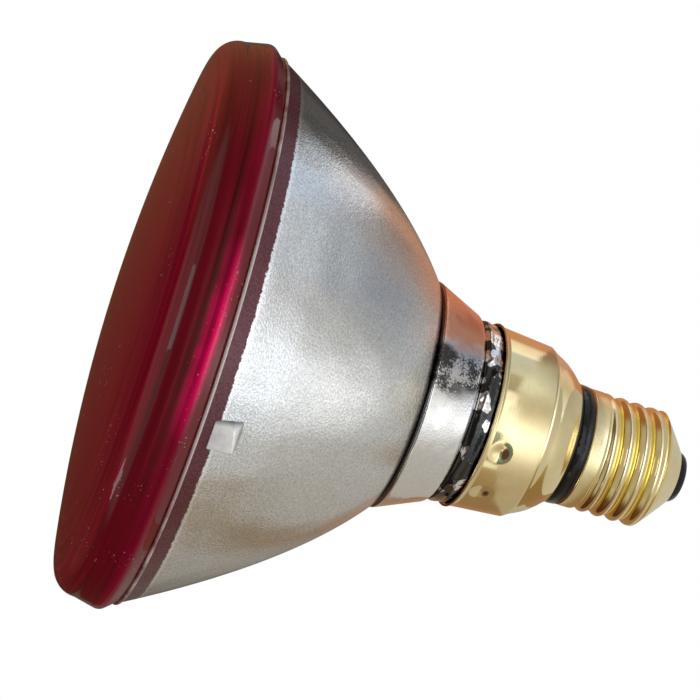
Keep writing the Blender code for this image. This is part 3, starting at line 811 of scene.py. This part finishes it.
def make_contact():
    """Brass eyelet in the button, and the cushion of solder on it."""
    low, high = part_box("centre_contact")
    low_z, high_z, radius = low.z / MM, high.z / MM, high.x / MM
    outline = rounded(
        [
            (0.9, low_z),
            (radius - 0.5, low_z),
            (radius, low_z + 0.25),
            (radius, low_z + 0.5),
            (1.7, low_z + 0.5),
            (1.7, high_z),
            (0.9, high_z),
        ],
        0.35,
    )
    contact = lathe("contact_eyelet", outline, brass("brass_contact", 0.16), SMALL)
    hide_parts("centre_contact")

    solder_low, solder_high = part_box("contact_solder")
    top = low_z + 0.1
    width = solder_high.x / MM
    flat_edge = (1.6, solder_low.z / MM)
    side = rounded([flat_edge, (width - 0.1, 0.25), (width, top)], 0.5, 5)
    outline = [(0.0, solder_low.z / MM)] + side + [(0.0, top)]
    solder = lathe("solder_dome", outline, solder_metal(), SMALL)
    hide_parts("contact_solder")


# ---------------------------------------------------------------- pieces kept from the frame


def dress(nodes, material):
    """Give frame nodes a finish."""
    for node in nodes:
        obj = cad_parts[node]
        obj.data.materials.clear()
        obj.data.materials.append(material)


def dress_frame():
    """Finishes for the pieces inside the envelope and the cap."""
    nickel = wire_metal("nickel", (0.62, 0.60, 0.57), 0.25)
    tungsten = wire_metal("tungsten", (0.30, 0.30, 0.32), 0.35)
    copper = wire_metal("copper", (0.72, 0.42, 0.28), 0.3)
    dress(("ferrule_right", "ferrule_left", "lead_post_right", "lead_post_left"), nickel)
    dress(("filament", "filament_support"), tungsten)
    dress(("shell_lead", "contact_lead_upper", "contact_lead_lower"), copper)
    dress(("exhaust_tube", "support_bead", "fuse_sleeve"), clear_glass())


# ---------------------------------------------------------------- stage


def emitter(name):
    """A node tree whose surface only gives light."""
    glow = Nodes(name, (0.0, 0.0, 0.0), 1.0)
    glow.set("Specular IOR Level", 0.0)
    glow.set("Emission Strength", 1.0)
    return glow


def stage_object(name, bm, material, height=0.0):
    """An object of the stage, lifted by height."""
    mesh = bpy.data.meshes.new(name)
    bm.to_mesh(mesh)
    bm.free()
    mesh.materials.append(material)
    obj = bpy.data.objects.new(name, mesh)
    obj.location.z = height
    bpy.context.scene.collection.objects.link(obj)
    return obj


def flat_disc(name, radius, height, material):
    """A level disc of the stage."""
    bm = bmesh.new()
    bmesh.ops.create_circle(bm, cap_ends=True, segments=96, radius=radius)
    return stage_object(name, bm, material, height)


# Radii and heights of the stage; the views are taken from inside the backdrop
FLOOR_RADIUS = 5.0
FLOOR_Z = -0.0006
TABLE_RADIUS = 3.0
TABLE_Z = -0.0003
BACKDROP_RADIUS = 5.5
WHITE = (1.0, 1.0, 1.0)

# Light of the bare table, and soft patches on it, light or dark: x, y and size, then the colour
TABLE_COLOUR = (0.13, 0.10, 0.08)
PATCHES = (
    (0.000, 0.000, 0.340, (0.52, 0.48, 0.41)),
    (0.000, 0.000, 0.044, (0.64, 0.64, 0.62)),
    (-0.022, -0.136, 0.054, (2.1, 2.2, 2.3)),
    (0.118, -0.078, 0.044, (1.2, 1.35, 1.5)),
    (0.150, -0.015, 0.034, (1.0, 1.15, 1.3)),
    (0.060, -0.022, 0.034, (0.34, 0.37, 0.42)),
    (0.095, 0.052, 0.036, (0.34, 0.25, 0.22)),
    (0.052, 0.082, 0.042, (0.80, 0.34, 0.20)),
    (0.170, 0.105, 0.056, (0.02, 0.02, 0.02)),
    (0.118, 0.150, 0.040, (0.04, 0.04, 0.04)),
    (-0.012, -0.056, 0.018, (1.5, 1.5, 1.45)),
    (0.42, 0.10, 0.22, (0.02, 0.02, 0.025)),
    (0.12, 0.38, 0.22, (0.015, 0.015, 0.02)),
)

# Ring of card round the lamp, mirrored mostly by the skirt: degrees from +X, then the colour
CARDS = (
    (-180.0, (0.30, 0.22, 0.13)),
    (-150.0, (0.42, 0.33, 0.22)),
    (-145.0, (0.50, 0.42, 0.30)),
    (-142.0, (1.00, 1.05, 1.05)),
    (-137.0, (1.00, 1.05, 1.05)),
    (-134.0, (0.50, 0.44, 0.34)),
    (-131.0, (0.44, 0.38, 0.28)),
    (-127.0, (0.13, 0.18, 0.18)),
    (-112.0, (0.24, 0.31, 0.33)),
    (-100.0, (0.30, 0.38, 0.42)),
    (-97.0, (1.5, 1.55, 1.7)),
    (-64.0, (1.5, 1.55, 1.7)),
    (-52.0, (1.1, 1.10, 1.2)),
    (-47.0, (0.42, 0.40, 0.36)),
    (-30.0, (0.50, 0.48, 0.42)),
    (-24.0, (0.66, 0.72, 0.80)),
    (4.0, (0.60, 0.70, 0.85)),
    (8.0, (1.1, 1.1, 1.1)),
    (26.0, (0.95, 0.85, 0.80)),
    (34.0, (0.62, 0.33, 0.20)),
    (90.0, (0.55, 0.26, 0.14)),
    (140.0, (0.30, 0.20, 0.12)),
    (180.0, (0.30, 0.22, 0.13)),
)
CARD_RADIUS = 0.12
CARD_HEIGHT = 0.028

# Lower ring close to the cap, mirrored mostly by the screw shell
SHELL_CARDS = (
    (-180.0, (0.30, 0.20, 0.10)),
    (-152.0, (0.32, 0.24, 0.10)),
    (-128.0, (0.40, 0.37, 0.20)),
    (-114.0, (0.95, 1.05, 1.00)),
    (-100.0, (1.90, 2.10, 2.50)),
    (-66.0, (1.80, 2.00, 2.40)),
    (-44.0, (0.85, 0.90, 0.95)),
    (-8.0, (0.60, 0.58, 0.50)),
    (14.0, (0.80, 0.62, 0.55)),
    (28.0, (0.60, 0.30, 0.18)),
    (60.0, (0.52, 0.22, 0.09)),
    (140.0, (0.35, 0.22, 0.12)),
    (180.0, (0.30, 0.20, 0.10)),
)
SHELL_CARD_RADIUS = 0.035
SHELL_CARD_HEIGHT = 0.016


def make_cards(name, radius, height, colours):
    """A standing ring of card that only shows in mirrors, with colours that blend round it."""
    glow = emitter(name)
    sweep = glow.node("ShaderNodeTexGradient", gradient_type="RADIAL", in_Vector=glow.place)
    ramp = glow.node("ShaderNodeValToRGB", in_Fac=sweep.outputs["Fac"]).color_ramp
    stops = ramp.elements
    for angle, colour in colours:
        place = (angle + 180.0) / 360.0
        stop = stops.new(place) if 0.0 < place < 1.0 else stops[0 if place <= 0.0 else -1]
        stop.color = (*colour, 1.0)
    glow.link("Emission Color", ramp.id_data.nodes[-1].outputs["Color"])
    bm = bmesh.new()
    bmesh.ops.create_cone(bm, cap_ends=False, segments=128, radius1=radius, radius2=radius, depth=height)
    cards = stage_object(name, bm, glow.material, height / 2)
    cards.visible_camera = False
    cards.visible_shadow = False
    cards.visible_diffuse = False


def make_floor():
    """The plain white floor that the camera sees; from below it is clear."""
    white = emitter("floor_white")
    white.set("Emission Color", (*WHITE, 1.0))
    seen_from_below = white.node("ShaderNodeNewGeometry").outputs["Backfacing"]
    white.link("Alpha", white.maths("SUBTRACT", 1.0, seen_from_below))
    floor = flat_disc("floor", FLOOR_RADIUS, FLOOR_Z, white.material)
    floor.visible_glossy = False
    floor.visible_diffuse = False


def make_table():
    """The lit table that the lamp mirrors, just over the floor; the camera doesn't see it."""
    soft = emitter("table_light")
    colour = TABLE_COLOUR
    for x, y, size, light in PATCHES:
        reach = soft.vector("DISTANCE", soft.place, (x, y, 0.0)).outputs["Value"]
        share = soft.maths("MULTIPLY", reach, 1.0 / size)
        share = soft.maths("EXPONENT", soft.maths("MULTIPLY", soft.maths("MULTIPLY", share, share), -1.0))
        colour = soft.mix(share, colour, light)
    soft.link("Emission Color", colour)
    table = flat_disc("light_table", TABLE_RADIUS, TABLE_Z, soft.material)
    table.visible_camera = False
    table.visible_shadow = False


def make_backdrop():
    """The white that the camera sees behind the lamp; nothing mirrors it."""
    white = emitter("backdrop_white")
    white.set("Emission Color", (*WHITE, 1.0))
    bm = bmesh.new()
    bmesh.ops.create_uvsphere(bm, u_segments=64, v_segments=32, radius=BACKDROP_RADIUS)
    backdrop = stage_object("backdrop", bm, white.material)
    backdrop.visible_glossy = False
    backdrop.visible_diffuse = False
    backdrop.visible_transmission = False
    backdrop.visible_shadow = False


def area_light(name, place, size, power):
    """A white rectangular light that shines on the middle of the lamp."""
    data = bpy.data.lights.new(name, "AREA")
    data.shape = "RECTANGLE"
    data.size, data.size_y = size
    data.energy = power
    light = bpy.data.objects.new(name, data)
    light.location = place
    direction = Vector((0.0, 0.0, 0.07)) - Vector(place)
    light.rotation_euler = direction.to_track_quat("-Z", "Y").to_euler()
    light.visible_camera = False
    bpy.context.scene.collection.objects.link(light)
    return light


def make_world():
    """A dim warm room.

    Low down it is brown, and behind the lamp orange at the +X side. Higher up it is light grey in
    front and dark behind, with orange at +X and brown at -X.
    """
    world = bpy.data.worlds.new("studio")
    bpy.context.scene.world = world
    world.use_nodes = True
    tree = world.node_tree
    direction = tree.nodes.new("ShaderNodeTexCoord").outputs["Generated"]
    split = tree.nodes.new("ShaderNodeSeparateXYZ")
    tree.links.new(direction, split.inputs["Vector"])

    def blend(axis, low, high, first, second):
        """A soft change from first to second as the direction's axis goes from low to high."""
        share = tree.nodes.new("ShaderNodeMapRange")
        share.interpolation_type = "SMOOTHSTEP"
        share.inputs["From Min"].default_value = low
        share.inputs["From Max"].default_value = high
        tree.links.new(split.outputs[axis], share.inputs["Value"])
        mixed = tree.nodes.new("ShaderNodeMix")
        mixed.data_type = "RGBA"
        tree.links.new(share.outputs["Result"], mixed.inputs[0])
        for socket, value in ((mixed.inputs[6], first), (mixed.inputs[7], second)):
            if isinstance(value, bpy.types.NodeSocket):
                tree.links.new(value, socket)
            else:
                socket.default_value = (*value, 1.0)
        return mixed.outputs[2]

    low_back = blend("X", -0.2, 0.8, (0.085, 0.026, 0.014), (0.36, 0.16, 0.07))
    low = blend("Y", -0.5, 0.3, (0.10, 0.06, 0.05), low_back)
    high_right = blend("X", 0.12, 0.45, (0.03, 0.012, 0.012), (0.32, 0.14, 0.06))
    high_back = blend("X", -0.12, -0.45, high_right, (0.13, 0.07, 0.035))
    high = blend("Y", -0.15, 0.15, (0.47, 0.43, 0.37), high_back)
    colour = blend("Z", 0.26, 0.44, low, high)
    tree.links.new(colour, tree.nodes["Background"].inputs["Color"])
    tree.nodes["Background"].inputs["Strength"].default_value = 1.0


def make_lights():
    """A large soft light overhead that mirrors don't show, and two small strips that they do."""
    top = area_light("top_softbox", (0.0, 0.0, 1.6), (1.6, 1.6), 14.0)
    top.visible_glossy = False
    area_light("side_strip", (-0.95, -0.15, 1.0), (0.35, 0.22), 0.5)
    area_light("front_strip", (0.15, -1.1, 0.85), (0.7, 0.24), 0.6)


def make_camera():
    """Seen from the -Y side, a little above the rim plane, rolled so that the lens is at the left."""
    roll = math.radians(17.28)
    tilt = math.radians(10.79)
    distance = 0.430
    focal_pixels = 2022.0
    image_side = 700.0
    reference = Vector((0.0, 0.0, cad_high.z - 0.060))
    offset_right, offset_down = 0.00717, 0.00802
    forward = Vector((0.0, math.cos(tilt), -math.sin(tilt)))
    right = Vector((math.sin(roll), -math.sin(tilt) * math.cos(roll), -math.cos(tilt) * math.cos(roll)))
    up = right.cross(forward)
    centre = reference - right * offset_right + up * offset_down
    data = bpy.data.cameras.new("camera")
    data.sensor_width = 36.0
    data.lens = focal_pixels * data.sensor_width / image_side
    data.clip_start = 0.01
    data.clip_end = 100.0
    camera = bpy.data.objects.new("camera", data)
    rotation = Matrix((right, up, -forward)).transposed()
    camera.matrix_world = Matrix.Translation(centre - forward * distance) @ rotation.to_4x4()
    bpy.context.scene.collection.objects.link(camera)
    bpy.context.scene.camera = camera


make_camera()
make_lens()
make_seam()
make_bowl()
make_collar()
make_neck()
make_lug()
make_skirt()
make_ring()
make_shell()
make_end_insulator()
make_contact()
dress_frame()
make_floor()
make_table()
make_backdrop()
make_cards("low_cards", CARD_RADIUS, CARD_HEIGHT, CARDS)
make_cards("shell_cards", SHELL_CARD_RADIUS, SHELL_CARD_HEIGHT, SHELL_CARDS)
make_world()
make_lights()
bpy.context.scene.view_settings.view_transform = "Standard"
